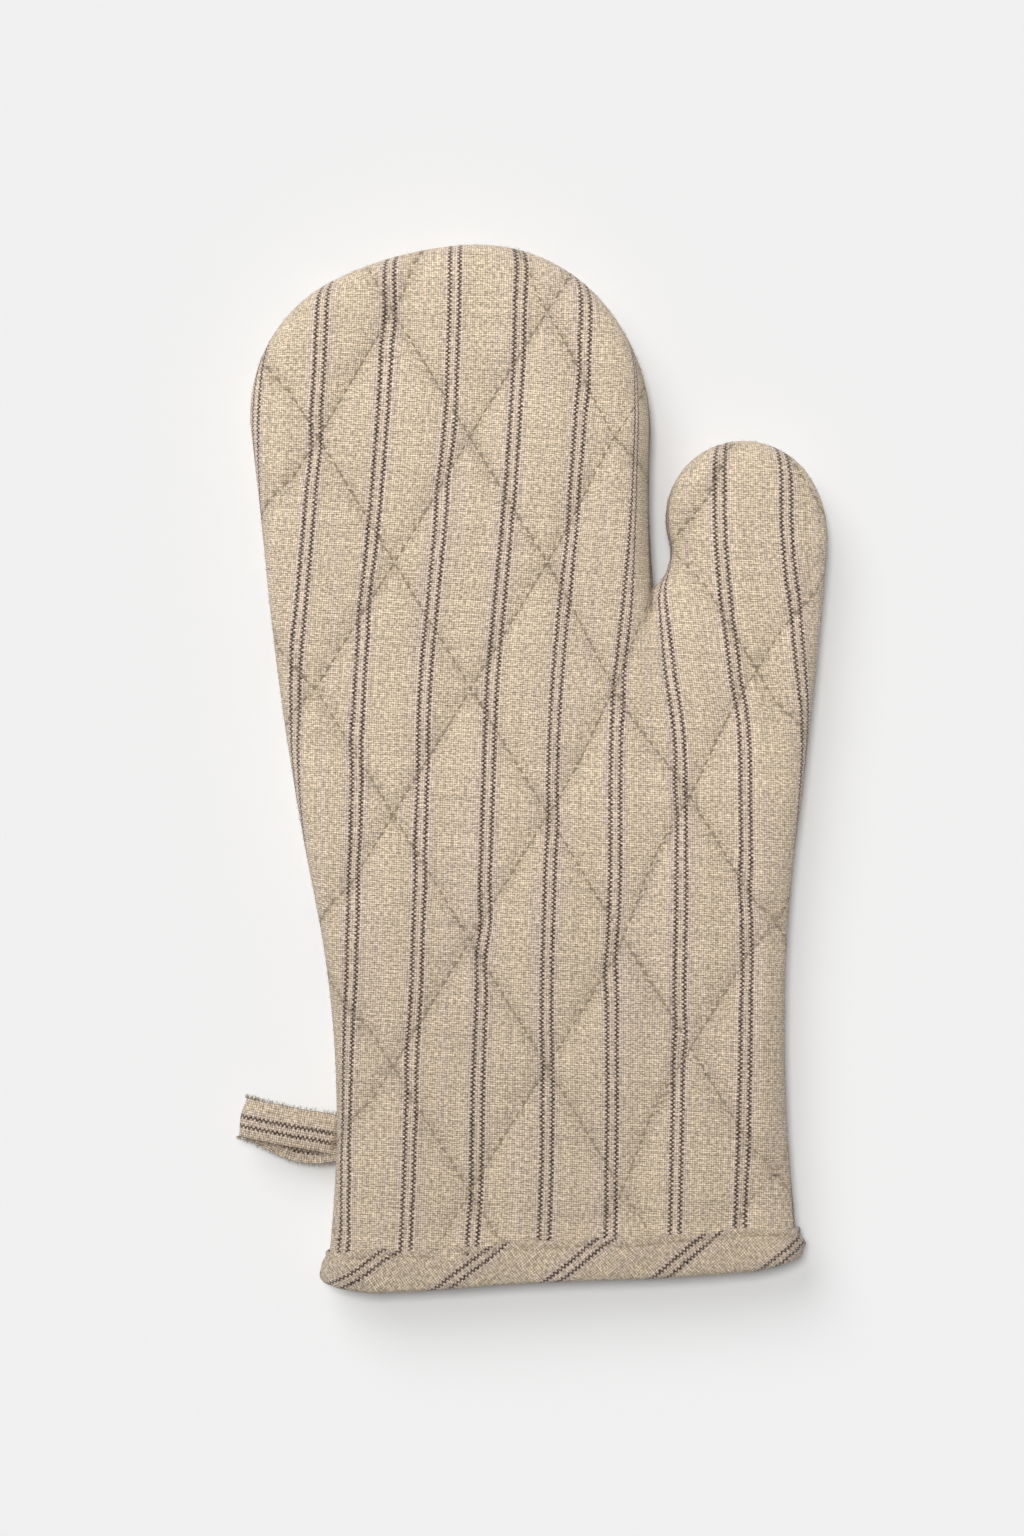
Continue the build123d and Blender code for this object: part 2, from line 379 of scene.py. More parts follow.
def raise_panel(points, front, crease_width=SHARP_CREASE):
    """Carries flat points to a panel's outer face. Returns 3-D points and unrolled flat points."""
    depth, foot = nearest_side(points)
    normal = points - foot
    size = np.linalg.norm(normal, axis=1)
    edge_normals = inward_normals(outline)
    at_edge = size < 1e-3
    if at_edge.any():
        near = ((points[at_edge, None, :] - outline) ** 2).sum(2).argmin(1)
        normal[at_edge], size[at_edge] = edge_normals[near], 1
    normal /= size[:, None]
    lengths, depths, heights = rim_profile(SEAM_GROOVE)
    along = np.clip(depth / RIM, 0, 1) * RIM_LENGTH
    inside = np.where(depth < RIM, np.interp(along, lengths, depths), depth)
    share = np.where(depth < RIM, np.interp(along, lengths, heights), 1)
    flat = foot + normal * np.where(depth < RIM, RIM - RIM_LENGTH + along, depth)[:, None]
    place = foot + normal * inside[:, None]
    squeeze = 1 - CUFF_SQUEEZE * (1 - smoothstep(BINDING_WIDTH, CUFF_SQUEEZE_FROM, rise_of(place)))
    if front:
        crown = FRONT_CROWN * smoothstep(4, 45, depth)
        bumps = 0.35 * waves(place, 28, 95, 3) * smoothstep(1, 12, depth)
        top = FRONT_HEIGHT + crown
        soft = quilt_relief(place, depth) + bumps + crotch_pinch(place, crease_width)
    else:
        top = REAR_HEIGHT
        soft = np.minimum(0.45 * quilt_relief(place, depth) + 0.15 * waves(place, 28, 95, 5) - 0.15, 0)
    height = SEAM_GAP + share * (top - SEAM_GAP) * squeeze + share * soft
    z = SEAM_Z + height if front else SEAM_Z - height
    return np.column_stack((place, z)), flat


def warp_shift(points):
    """How far the stripes lean from straight up, at flat points."""
    x, y = points.T
    hand = -5.4 * (1 + np.tanh((70 - y) / 52)) + 0.018 * np.minimum(y, 0)
    thumb = -10.4 - 9.4 * smoothstep(-4, 80, y) + 0.012 * np.minimum(y, 0)
    share = smoothstep(29, 41, x) * smoothstep(-10, 30, y)
    pull = sum(np.exp(-(line / 4.5) ** 2) * waves(points, 30, 80, seed)
               for line, seed in zip(quilt_distance(points), (31, 32)))
    wobble = 0.4 * waves(points, 70, 160, 11) + 0.45 * pull
    wobble -= 2.1 * np.exp(-((y - 5) / 38) ** 2) * smoothstep(-10, 25, x)
    wobble -= 1.7 * smoothstep(60, 105, -y) * (1 - smoothstep(-25, 10, x))
    return (1 - share) * hand + share * thumb + wobble


def cloth_uv(flat):
    """Cloth coordinates of flat points, in millimetres across and along the stripes."""
    across = flat[:, 0] - warp_shift(flat) - STRIPE_START
    return np.stack((across, flat[:, 1] + 0.05 * flat[:, 0] + 0.3 * waves(flat, 20, 60, 13)), 1)


# ---- mesh helpers


def vertex_normals(points, faces):
    """Area-weighted vertex normals of a triangle mesh."""
    a, b, c = (points[faces[:, k]] for k in range(3))
    face_normals = np.cross(b - a, c - a)
    total = np.zeros_like(points)
    for k in range(3):
        np.add.at(total, faces[:, k], face_normals)
    return unit(total, 1e-12)


def border_edges(faces):
    """Directed edges that only one triangle uses."""
    edges = np.concatenate((faces[:, [0, 1]], faces[:, [1, 2]], faces[:, [2, 0]]))
    used = {tuple(edge) for edge in edges}
    return np.array([edge for edge in used if (edge[1], edge[0]) not in used])


def add_object(name, data):
    """An object in the scene that shows this mesh, light or camera."""
    added = bpy.data.objects.new(name, data)
    bpy.context.scene.collection.objects.link(added)
    return added


def make_piece(name, points, faces, material, maps=None):
    """A mesh object from points in millimetres, with UV maps given per point."""
    mesh = bpy.data.meshes.new(name)
    mesh.from_pydata((np.asarray(points) * MM).tolist(), [], [list(map(int, face)) for face in faces])
    corners = np.empty(len(mesh.loops), np.int32)
    mesh.loops.foreach_get("vertex_index", corners)
    for map_name, values in (maps or {}).items():
        layer = mesh.uv_layers.new(name=map_name)
        layer.data.foreach_set("uv", np.asarray(values, np.float32)[corners].ravel())
    mesh.polygons.foreach_set("use_smooth", [True] * len(mesh.polygons))
    mesh.materials.append(material)
    return add_object(name, mesh)


def thick_panel(name, front, step, top_depth, bottom_depth, material, uv_shift=0.0, bottom=1.0):
    """A closed layer between two depths under a panel's outer face."""
    flat_points, faces = flat_mesh(step, bottom)
    crease_width = SHARP_CREASE if top_depth == 0 else SOFT_CREASE
    points, unrolled = raise_panel(flat_points, front, crease_width)
    if not front:
        faces = faces[:, ::-1]
    normals = vertex_normals(points, faces)
    from_tuck = np.hypot(*(flat_points - CROTCH - TUCK_CENTRE).T)
    is_batting = bottom_depth - top_depth > 2
    tuck = CROTCH_TUCK * np.exp(-(from_tuck / TUCK_REACH) ** 2) * is_batting
    outer = points - normals * (top_depth + tuck)[:, None]
    inner = points - normals * bottom_depth
    side, least = (1 if front else -1), (0.35 if top_depth else 0.1)
    for face in (outer, inner):          # each panel keeps to its own side of the seam
        face[:, 2] = SEAM_Z + side * np.maximum(side * (face[:, 2] - SEAM_Z), least)
    count = len(points)
    edges = border_edges(faces)
    walls_a = np.stack((edges[:, 1], edges[:, 0], edges[:, 0] + count), 1)
    walls_b = np.stack((edges[:, 1], edges[:, 0] + count, edges[:, 1] + count), 1)
    all_faces = np.concatenate((faces, faces[:, ::-1] + count, walls_a, walls_b))
    weave = cloth_uv(unrolled) + (uv_shift, 0)
    maps = {"weave": np.concatenate((weave, weave)), "flat": np.tile(points[:, :2], (2, 1))}
    for line, family in (("quilt_a", 0), ("quilt_b", 1)):
        maps[line] = np.tile(quilt_map(flat_points, family), (2, 1))
    return make_piece(name, np.concatenate((outer, inner)), all_faces, material, maps)


def tube(path, radius, sides=6, flatten=1.0):
    """Points and faces of a closed tube along a path of 3-D points, thinner at its ends."""
    path = np.asarray(path, float)
    ahead = unit(np.gradient(path, axis=0))
    side = unit(np.cross(ahead, (0.0, 0.0, 1.0)), 1e-9)
    over = np.cross(side, ahead)
    share = np.linspace(0, 1, len(path))
    girth = radius * np.sqrt(np.clip(1 - (2 * share - 1) ** 6, 0.12, 1))
    points = []
    for turn in range(sides):
        angle = 2 * pi * turn / sides
        points.append(path + girth[:, None] * (side * cos(angle) + over * sin(angle) * flatten))
    points = np.stack(points, 1).reshape(-1, 3)
    faces = band_faces(len(path), sides)
    last = (len(path) - 1) * sides
    faces.append(tuple(range(sides)))
    faces.append(tuple(last + turn for turn in reversed(range(sides))))
    return points, faces


def band_faces(rings, sides):
    """Quads round a tube of so many rings."""
    faces = []
    for ring in range(rings - 1):
        for turn in range(sides):
            a, b = ring * sides + turn, ring * sides + (turn + 1) % sides
            faces.append((a, a + sides, b + sides, b))
    return faces


def join_parts(parts):
    """Several (points, faces) lists as one."""
    points, faces, start = [], [], 0
    for part_points, part_faces in parts:
        points.append(part_points)
        faces.extend(tuple(index + start for index in face) for face in part_faces)
        start += len(part_points)
    return np.concatenate(points), faces


# ---- materials


def srgb(red, green, blue):
    """Linear colour of 8-bit display values."""
    linear = [((v / 255 + 0.055) / 1.055) ** 2.4 if v > 10 else v / 255 / 12.92
              for v in (red, green, blue)]
    return (*linear, 1.0)


class Graph:
    """A material's node tree, built by short calls that return output sockets."""

    def __init__(self, name, roughness=0.9, sheen=0.25):
        self.material = bpy.data.materials.new(name)
        self.material.use_nodes = True
        self.nodes = self.material.node_tree.nodes
        self.links = self.material.node_tree.links
        self.shader = self.nodes["Principled BSDF"]
        self.shader.inputs["Roughness"].default_value = roughness
        self.shader.inputs["Specular IOR Level"].default_value = 0.2
        self.shader.inputs["Sheen Weight"].default_value = sheen
        self.shader.inputs["Sheen Roughness"].default_value = 0.5

    def feed(self, value, socket):
        if isinstance(value, bpy.types.NodeSocket):
            self.links.new(value, socket)
        else:
            socket.default_value = value

    def put(self, kind, output=0, inputs=(), **settings):
        node = self.nodes.new(kind)
        for key, value in settings.items():
            setattr(node, key, value)
        for socket, value in inputs:
            self.feed(value, node.inputs[socket])
        return node.outputs[output]

    def math(self, operation, first, second=0.0, third=0.0):
        values = [(0, first), (1, second), (2, third)]
        return self.put("ShaderNodeMath", inputs=values, operation=operation)

    def uv(self, name):
        vector = self.put("ShaderNodeUVMap", uv_map=name)
        node = self.nodes.new("ShaderNodeSeparateXYZ")
        self.links.new(vector, node.inputs[0])
        return node.outputs[0], node.outputs[1]

    def vector(self, x, y, z=0.0):
        return self.put("ShaderNodeCombineXYZ", inputs=[(0, x), (1, y), (2, z)])

    def noise(self, vector, scale, detail=2.0, rough=0.5):
        values = [("Vector", vector), ("Scale", scale), ("Detail", detail), ("Roughness", rough)]
        return self.put("ShaderNodeTexNoise", inputs=values, noise_dimensions="2D")

    def white(self, value):
        return self.put("ShaderNodeTexWhiteNoise", inputs=[("W", value)], noise_dimensions="1D")

    def ramp(self, value, low, high, to_low=0.0, to_high=1.0):
        values = [("Value", value), ("From Min", low), ("From Max", high),
                  ("To Min", to_low), ("To Max", to_high)]
        return self.put("ShaderNodeMapRange", inputs=values, interpolation_type="SMOOTHSTEP")

    def mix(self, share, first, second, blend="MIX"):
        node = self.nodes.new("ShaderNodeMix")
        node.data_type, node.blend_type = "RGBA", blend
        for index, value in ((0, share), (6, first), (7, second)):
            self.feed(value, node.inputs[index])
        return node.outputs[2]

    def scale(self, value, gain, offset):
        return self.math("MULTIPLY_ADD", value, gain, offset)

    def times(self, *factors):
        """Product of several values, multiplied from the left."""
        product = factors[0]
        for factor in factors[1:]:
            product = self.math("MULTIPLY", product, factor)
        return product

    def grey(self, value):
        return self.put("ShaderNodeCombineColor", inputs=[(0, value), (1, value), (2, value)])

    def finish(self, colour, height, depth):
        """Joins colour and a bump of so many metres to the shader."""
        self.feed(colour, self.shader.inputs["Base Color"])
        values = [("Height", height), ("Strength", 1.0), ("Distance", depth)]
        self.feed(self.put("ShaderNodeBump", inputs=values), self.shader.inputs["Normal"])
        return self.material


def plain_weave(graph, u, v, warp, weft, waver):
    """Thread numbers and the height of a plain weave."""
    spot = graph.vector(u, v)
    shift = graph.scale(graph.noise(spot, 0.35, 3.0), waver, -waver / 2)
    shift_v = graph.scale(graph.noise(graph.vector(v, u), 0.3, 3.0), waver, -waver / 2)
    warp_at = graph.math("DIVIDE", graph.math("ADD", u, shift), warp)
    weft_at = graph.math("DIVIDE", graph.math("ADD", v, shift_v), weft)
    warp_no, weft_no = graph.math("FLOOR", warp_at), graph.math("FLOOR", weft_at)
    warp_in, weft_in = graph.math("FRACT", warp_at), graph.math("FRACT", weft_at)
    warp_round = graph.math("SINE", graph.times(warp_in, pi))
    weft_round = graph.math("SINE", graph.times(weft_in, pi))
    warp_top = graph.math("FLOORED_MODULO", graph.math("ADD", warp_no, weft_no), 2.0)
    over = graph.times(warp_round, graph.scale(weft_round, 0.5, 0.5))
    under = graph.times(weft_round, graph.scale(warp_round, 0.5, 0.5))
    gain = graph.math("SUBTRACT", over, under)
    height = graph.scale(gain, warp_top, under)
    return warp_no, weft_no, height


def stripe_colours(graph, u, v, height, painted_shade):
    """Warm and greyer cloth, with a zigzag dark stripe each side of the middle of every pair."""
    spot = graph.vector(u, v)
    turns = graph.math("ADD", graph.math("DIVIDE", u, STRIPE_PITCH), 0.5)
    within = graph.scale(graph.math("FRACT", turns), STRIPE_PITCH, -STRIPE_PITCH / 2)
    beside = graph.math("ABSOLUTE", within)
    wander = graph.scale(graph.noise(spot, 0.4), 0.8, v)
    zigzag = graph.math("PINGPONG", wander, WEFT)
    swing = graph.scale(zigzag, 2 * ZIGZAG / WEFT, -ZIGZAG)
    ragged = graph.scale(graph.noise(spot, 1.6, 2.0), 0.3, -0.15)
    line_at = graph.math("ADD", graph.math("ADD", swing, STRIPE_GAP / 2), ragged)
    off_line = graph.math("ABSOLUTE", graph.math("SUBTRACT", beside, line_at))
    dark = graph.ramp(off_line, STRIPE_WIDTH / 2 - 0.13, STRIPE_WIDTH / 2 + 0.13, 1.0, 0.0)
    worn = graph.ramp(graph.noise(spot, 0.9, 3.0), 0.25, 0.65, 0.72, 1.0)
    dark = graph.times(dark, graph.times(worn, graph.ramp(height, 0.0, 0.7, 0.8, 1.0)))

    # Greyer cloth beside the stripes, and faint streaks along the warp
    pink = graph.ramp(beside, 2.4, 4.8, 0.72, 0.0)
    streak = graph.noise(graph.vector(u, graph.times(v, 0.04)), 0.25, 3.0)
    pink = graph.math("ADD", pink, graph.ramp(streak, 0.42, 0.75, 0.0, 0.6))
    # Painted shade: the whole cloth colour darkened for the binding and the loop
    warm, grey = (srgb(*(part * painted_shade for part in colour)) for colour in (CLOTH_WARM, CLOTH_GREY))
    return graph.mix(dark, graph.mix(pink, warm, grey), srgb(*DARK_STRIPE))


def painted_falloff_and_crease_shade(graph, tone, v):
    """Painted light on a panel's cloth: a little lighter towards the fingers and darker towards the
    cuff, and painted shade in the crease under the crotch.
    """
    # Painted light: the cloth a little lighter towards the fingers and darker towards the cuff, as the
    # light falls off
    painted_falloff = graph.times(graph.ramp(v, -120.0, 20.0, 0.85, 1.0), graph.ramp(v, 0.0, 150.0, 1.0, 1.07))
    tone = graph.times(tone, painted_falloff)
    # Painted shade: a dark line in the crease that runs down from the crotch
    east, north = graph.uv("flat")
    beside_line = graph.math("ABSOLUTE", graph.math("SUBTRACT", east, CROTCH[0] - 0.9))
    painted_crease_shade = graph.times(graph.ramp(beside_line, 0.2, 1.1, 1.0, 0.0),
                        graph.ramp(north, CROTCH[1] - 11, CROTCH[1] - 5, 0.0, 1.0))
    return graph.times(tone, graph.scale(painted_crease_shade, -0.5, 1.0))


def painted_stitch_shade(graph, tone, spot, line):
    """Painted shade in the stitch holes along one family of quilting lines, and the soft painted shade
    beside them.
    """
    away, along = graph.uv(line)
    spacing = graph.math("PINGPONG", along, QUILT_STITCH / 2)
    # Painted shade: dark dots in the stitch holes, and a soft shade along the line's valley
    painted_hole_shade = graph.times(graph.ramp(away, 0.4, 1.0, 1.0, 0.0), graph.ramp(spacing, 0.35, 0.8, 1.0, 0.0),
                       graph.ramp(graph.noise(spot, 0.09), 0.35, 0.6, 0.15, 1.0))
    soft = graph.times(graph.ramp(away, 0.3, 4.5, 1.0, 0.0),
                       graph.ramp(graph.noise(spot, 0.06), 0.3, 0.6, 0.2, 1.0))
    tone = graph.times(tone, graph.scale(painted_hole_shade, -0.46, 1.0))
    return graph.times(tone, graph.scale(soft, -0.11, 1.0))


def striped_cotton(name, painted_shade=1.0, quilted=False):
    """Beige cotton in plain weave with pairs of dark stripes, after the piece's weave map."""
    graph = Graph(name)
    u, v = graph.uv("weave")
    warp_no, weft_no, height = plain_weave(graph, u, v, WARP, WEFT, 0.34)
    spot = graph.vector(u, v)
    thread = stripe_colours(graph, u, v, height, painted_shade)

    # Light and dark threads, flecks, slow mottling and the shade between threads
    warp_tone = graph.scale(graph.white(warp_no), 0.12, 0.94)
    weft_tone = graph.scale(graph.white(graph.math("ADD", weft_no, 0.37)), 0.12, 0.94)
    fleck = graph.noise(graph.vector(graph.times(u, 0.75), graph.times(v, 1.5)), 1.08, 2.0, 0.6)
    fleck_tone = graph.ramp(fleck, 0.28, 0.72, 0.62, 1.32)
    mottle = graph.scale(graph.noise(spot, 0.03, 3.0), 0.10, 0.95)
    gap_tone = graph.ramp(height, 0.0, 0.85, 0.56, 1.14)
    tone = graph.times(graph.times(warp_tone, weft_tone), graph.times(fleck_tone, mottle), gap_tone)
    # Painted light falloff and painted crease shade on the quilted panels
    if quilted:
        tone = painted_falloff_and_crease_shade(graph, tone, v)
    slub = graph.noise(graph.vector(graph.times(u, 0.05), v), 1.3, 2.0)
    tone = graph.times(tone, graph.ramp(slub, 0.3, 0.7, 0.93, 1.07))
    # Painted shade in the stitch holes and along the quilting valleys
    for line in ("quilt_a", "quilt_b") if quilted else ():
        tone = painted_stitch_shade(graph, tone, spot, line)
    colour = graph.mix(1.0, thread, graph.grey(tone), "MULTIPLY")
    return graph.finish(colour, graph.scale(fleck, 0.8, height), 0.0002)


def plain_cotton(name, colour, thread=0.5):
    """Unstriped cotton in plain weave, after the piece's weave map."""
    graph = Graph(name)
    u, v = graph.uv("weave")
    warp_no, weft_no, height = plain_weave(graph, u, v, thread, thread, 0.2)
    tone = graph.scale(graph.white(warp_no), 0.08, 0.88)
    tone = graph.times(tone, graph.scale(graph.white(weft_no), 0.08, 0.96))
    # Painted shade in the gaps between the threads
    tone = graph.times(tone, graph.ramp(height, 0.0, 0.8, 0.72, 1.05))
    return graph.finish(graph.mix(1.0, colour, graph.grey(tone), "MULTIPLY"), height, 0.00012)


def fluffy_batting(name):
    """Matted cotton fibres, after the piece's weave map."""
    graph = Graph(name, sheen=0.5)
    u, v = graph.uv("weave")
    fibres = graph.noise(graph.vector(u, graph.times(v, 0.35)), 1.3, 5.0, 0.7)
    clumps = graph.noise(graph.vector(u, v), 0.12, 3.0)
    both = graph.scale(clumps, 0.5, fibres)
    colour = graph.mix(graph.ramp(both, 0.4, 1.0), srgb(214, 208, 196), srgb(244, 241, 233))
    return graph.finish(colour, both, 0.0006)


def sewing_thread(name, colour, twist=0.28):
    """Twisted thread: slanting plies along each stitch, after the piece's strand map."""
    graph = Graph(name, roughness=0.6, sheen=0.15)
    along, around = graph.uv("strand")
    turned = graph.times(around, 2 * pi)
    plies = graph.math("SINE", graph.scale(along, 2 * pi / twist, turned))
    tone = graph.ramp(plies, -1.0, 1.0, 0.7, 1.08)
    uneven = graph.scale(graph.noise(graph.vector(along, around), 0.4), 0.3, 0.85)
    varied = graph.times(tone, uneven)
    return graph.finish(graph.mix(1.0, colour, graph.grey(varied), "MULTIPLY"), plies, 0.00006)


shell_cloth = striped_cotton("striped_cotton", quilted=True)
# Painted shade: the binding and the loop are darker copies of the same striped cotton
binding_cloth = striped_cotton("striped_cotton_bias", 0.88)
loop_cloth = striped_cotton("striped_cotton_loop", 0.92)
lining_cloth = plain_cotton("plain_lining_cotton", srgb(226, 218, 202))
batting_look = fluffy_batting("cotton_batting")
beige_thread = sewing_thread("beige_thread", srgb(186, 165, 134))
fray_thread = sewing_thread("frayed_cotton_ends", srgb(205, 188, 164))
overlock_look = plain_cotton("overlock_thread", srgb(214, 203, 184), 0.9)


# ---- camera, light, floor

camera_data = bpy.data.cameras.new("camera")
camera = add_object("camera", camera_data)
camera.location = (FRAME_CENTRE[0] * MM, FRAME_CENTRE[1] * MM, (SEAM_Z + CAMERA_RISE) * MM)
camera_data.sensor_fit = "VERTICAL"
camera_data.angle = 2 * atan2(FRAME_HEIGHT / 2, CAMERA_RISE)
bpy.context.scene.camera = camera


def sun(name, azimuth, elevation, spread, strength):
    """Even light from far off. Azimuth turns from +X towards +Y."""
    data = bpy.data.lights.new(name, "SUN")
    data.angle, data.energy = radians(spread), strength
    light = add_object(name, data)
    toward = Vector((cos(radians(azimuth)) * cos(radians(elevation)),
                     sin(radians(azimuth)) * cos(radians(elevation)), sin(radians(elevation))))
    light.rotation_euler = toward.to_track_quat("Z", "Y").to_euler()


def studio():
    """A pale floor, an even white sky and two soft lights."""
    world = bpy.data.worlds.new("studio")
    world.use_nodes = True
    world.node_tree.nodes["Background"].inputs[0].default_value = (1, 1, 1, 1)
    world.node_tree.nodes["Background"].inputs[1].default_value = SKY
    bpy.context.scene.world = world
    bpy.context.scene.view_settings.view_transform = "Standard"
    sun("key", 125, 46, 40, KEY)
    sun("top", 118, 80, 14, TOP)
    mesh = bpy.data.meshes.new("floor")
    mesh.from_pydata([(-3, -3, 0), (3, -3, 0), (3, 3, 0), (-3, 3, 0)], [], [(0, 1, 2, 3)])
    floor = add_object("floor", mesh)
    paper = bpy.data.materials.new("pale_floor")
    paper.use_nodes = True
    shader = paper.node_tree.nodes["Principled BSDF"]
    shader.inputs["Base Color"].default_value = (0.845, 0.845, 0.845, 1)
    shader.inputs["Roughness"].default_value = 1.0
    shader.inputs["Specular IOR Level"].default_value = 0.0
    mesh.materials.append(paper)


studio()


# ---- pieces


def over_the_fold(piece, node):
    """A piece of the mitt that stands for a node's two sides, the node and its thumb."""
    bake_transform(piece)
    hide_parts(node, f"{node}_thumb")


FINE, MIDDLE, COARSE = ((1.25, 2.0, 2.0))
SIDES = (("front", True), ("rear", False))


def cloth_layers():
    """The outer cloth, batting and lining of both panels."""
    for side, front in SIDES:
        cloth = thick_panel(f"{side}_cloth", front, FINE, 0, CLOTH, shell_cloth,
                            0 if front else REAR_STRIPE_SHIFT, bottom=CLOTH_BOTTOM)
        over_the_fold(cloth, f"{side}_shell")
        batting = thick_panel(f"{side}_batting", front, COARSE, *BATTING, batting_look,
                              bottom=INNER_BOTTOM)
        over_the_fold(batting, f"{side}_wadding")
        lining = thick_panel(f"{side}_lining_cloth", front, MIDDLE, *LINING, lining_cloth,
                             bottom=INNER_BOTTOM)
        over_the_fold(lining, f"{side}_lining")


def strand_maps(ring_count, sides, step):
    """Strand map of a tube: length along it and share of the way round."""
    along = np.repeat(np.arange(ring_count) * step, sides)
    return np.stack((along, np.tile(np.arange(sides) / sides, ring_count)), 1)


def stitch_row(places, headings, lifts, length, radius):
    """Stitches as (points, faces) and their strand maps: short arcs that dive in at both ends."""
    parts, maps = [], []
    shares = np.linspace(-0.5, 0.5, 7)
    for place, heading, lift in zip(places, headings, lifts):
        dip = (1 - (2 * shares) ** 2) * radius * 1.3 - radius * 0.75
        path = place + shares[:, None] * heading * length + dip[:, None] * lift
        parts.append(tube(path, radius, 6))
        maps.append(strand_maps(7, 6, length / 6))
    return parts, maps


def thread_piece(name, parts, maps, thread=None):
    """One piece of thread or fibre from its parts."""
    points, faces = join_parts(parts)
    return make_piece(name, points, faces, thread or beige_thread, {"strand": np.concatenate(maps)})


def quilt_stitches(side, front):
    """Stitches along every quilting line of a panel."""
    places, headings = [], []
    for rise, family in FAMILIES:
        for line in range(-5, 6):
            start = QUILT_CROSSING[0] + line * QUILT_SPACING
            y = np.arange(-150.0, 160.0, QUILT_STITCH * QUILT_SLOPE / hypot(1, QUILT_SLOPE))
            y += random.uniform(-0.25, 0.25, len(y))
            x = start + (y - QUILT_CROSSING[1]) / rise
            for _ in range(4):
                drift = quilt_drift(np.stack((x, y), 1))
                x = start + (y - QUILT_CROSSING[1]) / rise - drift
                x -= THUMB_LEAN * smoothstep(22, 48, x) * family
            points = np.stack((x, y), 1)
            ahead = unit(np.gradient(points, axis=0))
            keep = inside_outline(points) & (rise_of(points) > BINDING_WIDTH + 3)
            depth, _ = nearest_side(points)
            keep &= depth > 3.0
            places.append(points[keep])
            headings.append(ahead[keep])
    places, headings = np.concatenate(places), np.concatenate(headings)
    centre, _ = raise_panel(places, front)
    before, _ = raise_panel(places - headings * 0.8, front)
    after, _ = raise_panel(places + headings * 0.8, front)
    along = unit(after - before)
    lift = np.cross(np.column_stack((headings[:, 1], -headings[:, 0], np.zeros(len(headings)))), along)
    lift *= np.sign(lift[:, 2:]) * (1 if front else -1)
    parts, maps = stitch_row(centre, along, lift, QUILT_STITCH * 0.62, 0.26)
    piece = thread_piece(f"{side}_quilting_stitches", parts, maps)
    over_the_fold(piece, f"{side}_quilting_thread")


def surface_fibres(side, front, count):
    """Short loose fibres that stand off the outer cloth, thickest round its rim."""
    draw = np.random.default_rng(17 if front else 18)
    rim = resample(outline_above(BINDING_WIDTH + 1), 0.5)
    inward = inward_normals(rim)
    picks = draw.integers(0, len(rim), count * 2 // 3)
    near_rim = rim[picks] + inward[picks] * draw.uniform(0.05, 9, len(picks))[:, None]
    low, high = outline.min(0), outline.max(0)
    spread = draw.uniform(low, high, (count, 2))
    places = np.concatenate((near_rim, spread))
    keep = inside_outline(places) & (rise_of(places) > BINDING_WIDTH + 1)
    keep &= (places[:, 0] > -52) | (np.abs(places[:, 1] + 111) > 10)     # clear of the loop's root
    places = places[keep]
    centre, _ = raise_panel(places, front)
    step = np.array((0.02, 0.0))
    east = raise_panel(places + step, front)[0] - centre
    north = raise_panel(places + step[::-1], front)[0] - centre
    normal = unit(np.cross(east, north) * (1 if front else -1), 1e-12)
    sideways = draw.normal(0, 1, (len(places), 3))
    sideways -= normal * (sideways * normal).sum(1)[:, None]
    sideways = unit(sideways)
    parts = []
    steps = np.linspace(0, 1, 4)[:, None]
    for place, out, flank in zip(centre, normal, sideways):
        length, rise = draw.uniform(0.5, 1.4), draw.uniform(0.15, 0.6)
        path = place - out * 0.1 + flank * length * steps
        path = path + out * (rise * np.sin(steps * draw.uniform(1.6, 3.0)) + 0.05)
        parts.append(tube(path, 0.045, 3))
    maps = [strand_maps(4, 3, 0.3)] * len(parts)
    piece = thread_piece(f"{side}_surface_fibres", parts, maps, fray_thread)
    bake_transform(piece)


def hem_loop(count_rim, count_flat):
    """The closed line round the cuff at the hem: share across, depth at a side, height share."""
    lengths, depths, heights = rim_profile(0.0)
    at = np.linspace(0, lengths[-1], count_rim, endpoint=False)
    depth, height = np.interp(at, lengths, depths), np.interp(at, lengths, heights)
    flat = np.linspace(0, 1, count_flat)
    left = [(0.0, d, h) for d, h in zip(depth, height)]
    right = [(1.0, -d, h) for d, h in zip(depth, height)][::-1]
    across = [(share, RIM * (1 - 2 * share), 1.0) for share in flat]
    upper = left + across + right
    lower = [(share, depth, -height) for share, depth, height in upper[::-1]][1:-1]
    return np.array(upper + lower)


def hem_points(loop, rise):
    """3-D points of the hem's closed line at a rise, on the outer cloth's face."""
    ends = outline_above(rise)[[0, -1]]
    left, right = sorted(ends, key=lambda end: end[0])
    base = left + (right - left) * loop[:, :1]
    flat = base + hem_along * loop[:, 1:2]
    squeeze = 1 - CUFF_SQUEEZE
    from_side = RIM + 50 * (0.5 - np.abs(loop[:, 0] - 0.5)) * 2
    upper = FRONT_HEIGHT + FRONT_CROWN * smoothstep(4, 45, from_side)
    height = np.where(loop[:, 2] > 0, loop[:, 2] * upper, loop[:, 2] * (REAR_HEIGHT - 0.6)) * squeeze
    return np.column_stack((flat, SEAM_Z + height))


def loop_normals(points):
    """Outward normals of the closed hem line, in the plane across the cuff."""
    ahead = np.roll(points, -1, axis=0) - np.roll(points, 1, axis=0)
    normals = unit(np.cross(ahead, np.append(hem_up, 0.0)))
    middle = points.mean(0)
    return normals * np.sign(((points - middle) * normals).sum(1).mean())


